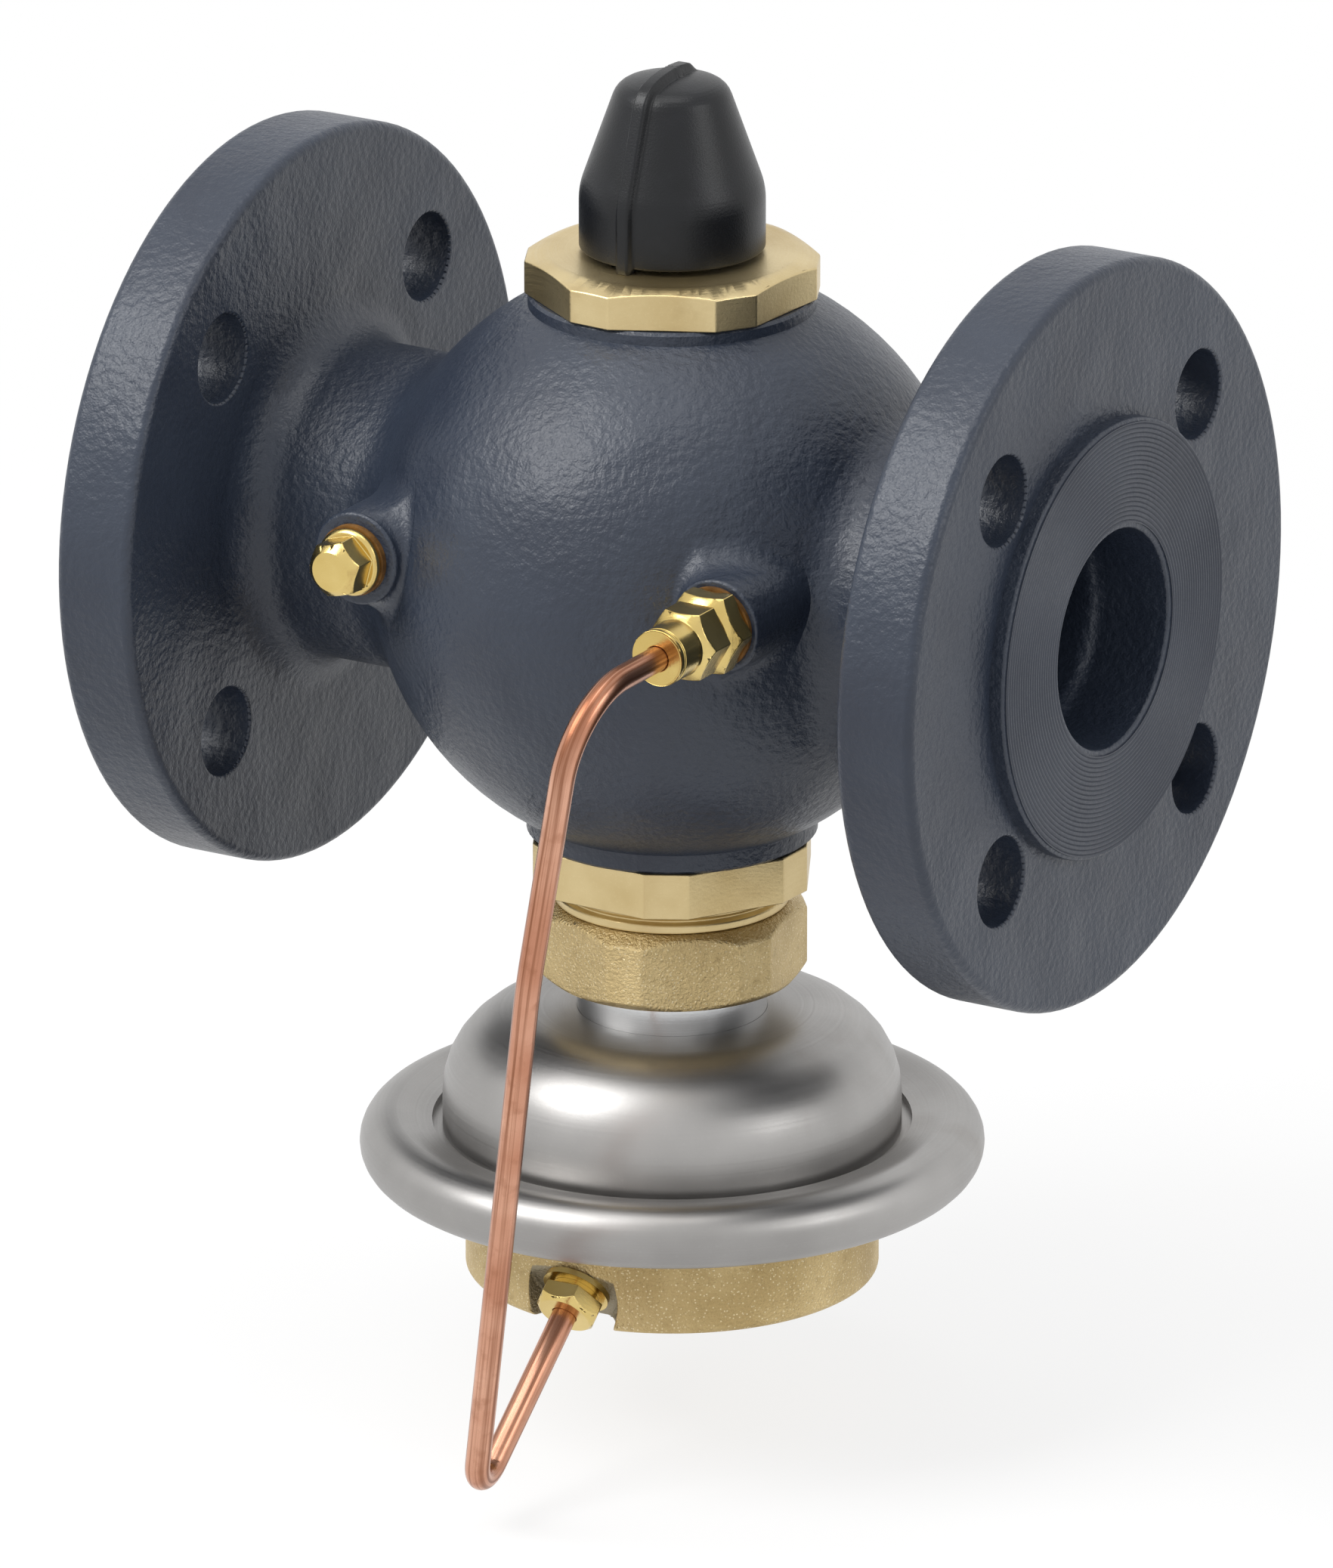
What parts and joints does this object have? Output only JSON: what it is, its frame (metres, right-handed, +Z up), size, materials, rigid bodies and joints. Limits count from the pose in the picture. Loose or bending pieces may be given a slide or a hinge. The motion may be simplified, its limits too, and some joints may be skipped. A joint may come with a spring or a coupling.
{
  "type": "flow regulator valve",
  "caption": "Flanged globe-bodied flow regulator valve with a setting knob on top, a diaphragm actuator below and an impulse pipe to the body.",
  "frame": {"origin": "centre of the inlet port at the inlet flange's raised face", "axes": "+X along the pipe axis from the inlet to the outlet flange, +Z up along the valve stem towards the knob, -Y towards the side with the pressure taps"},
  "size_m": [0.2, 0.1826, 0.2721],
  "materials": {
    "cast_iron_paint": "dark blue-grey paint over a cast orange-peel skin",
    "brass": "smooth machined",
    "cast_brass": "rough sand-cast",
    "bronze": "turned",
    "stainless": "turned stainless steel",
    "brushed_shell": "spun stainless sheet, satin",
    "spring_steel": "drawn wire",
    "black_plastic": "moulded, satin black",
    "rubber": "matt black rubber",
    "seal_fibre": "dark fibre gasket",
    "copper": "drawn copper pipe, lightly tarnished"
  },
  "bodies": {
    "valve": {"valve_body": "cast_iron_paint", "seat_ring": "stainless", "top_bonnet": "brass", "top_bonnet_o_ring": "rubber", "restrictor_key": "stainless", "lower_bonnet": "brass", "lower_bonnet_o_ring": "rubber", "stem_guide_bush": "bronze", "stem_seal": "rubber", "union_nut": "cast_brass", "actuator_neck": "stainless", "neck_bush": "bronze", "actuator_upper_shell": "brushed_shell", "rim_clamp_ring": "brushed_shell", "diaphragm": "rubber", "control_spring": "spring_steel", "actuator_lower_pan": "brushed_shell", "actuator_base": "cast_brass", "tap_plug": "brass", "tap_plug_gasket": "seal_fibre", "upper_connector": "brass", "upper_connector_gasket": "seal_fibre", "upper_ferrule": "brass", "upper_compression_nut": "brass", "lower_connector": "brass", "lower_connector_washer": "brass", "lower_ferrule": "brass", "lower_compression_nut": "brass", "impulse_tube": "copper"},
    "knob": {"setting_knob": "black_plastic", "setting_spindle": "stainless", "spindle_o_rings": "rubber", "spindle_circlip": "stainless"},
    "restrictor": {"flow_restrictor": "brass"},
    "stem": {"control_cone": "stainless", "cone_seal": "rubber", "cone_nut": "stainless", "valve_stem": "stainless", "actuator_stem": "stainless", "upper_diaphragm_plate": "stainless", "lower_diaphragm_plate": "stainless", "diaphragm_nut": "stainless"}
  },
  "joints": [
    {"name": "knob_turn", "type": "hinge", "parent": "valve", "child": "knob", "pos_m": [0.1, 0, 0.0648], "axis": [0, 0, 1], "range_deg": [-1800, 0]},
    {"name": "restrictor_lift", "type": "slide", "parent": "valve", "child": "restrictor", "axis": [0, 0, 1], "range_m": [-0.01, 0]},
    {"name": "stem_stroke", "type": "slide", "parent": "valve", "child": "stem", "axis": [0, 0, 1], "range_m": [0, 0.007], "stiffness_N_per_m": 6000, "springref_m": -0.012, "deforming": ["control_spring", "diaphragm"]}
  ],
  "couplings": [
    {"joint": "knob_turn", "follows": "restrictor_lift", "rad_per_m": 3141.6}
  ]
}
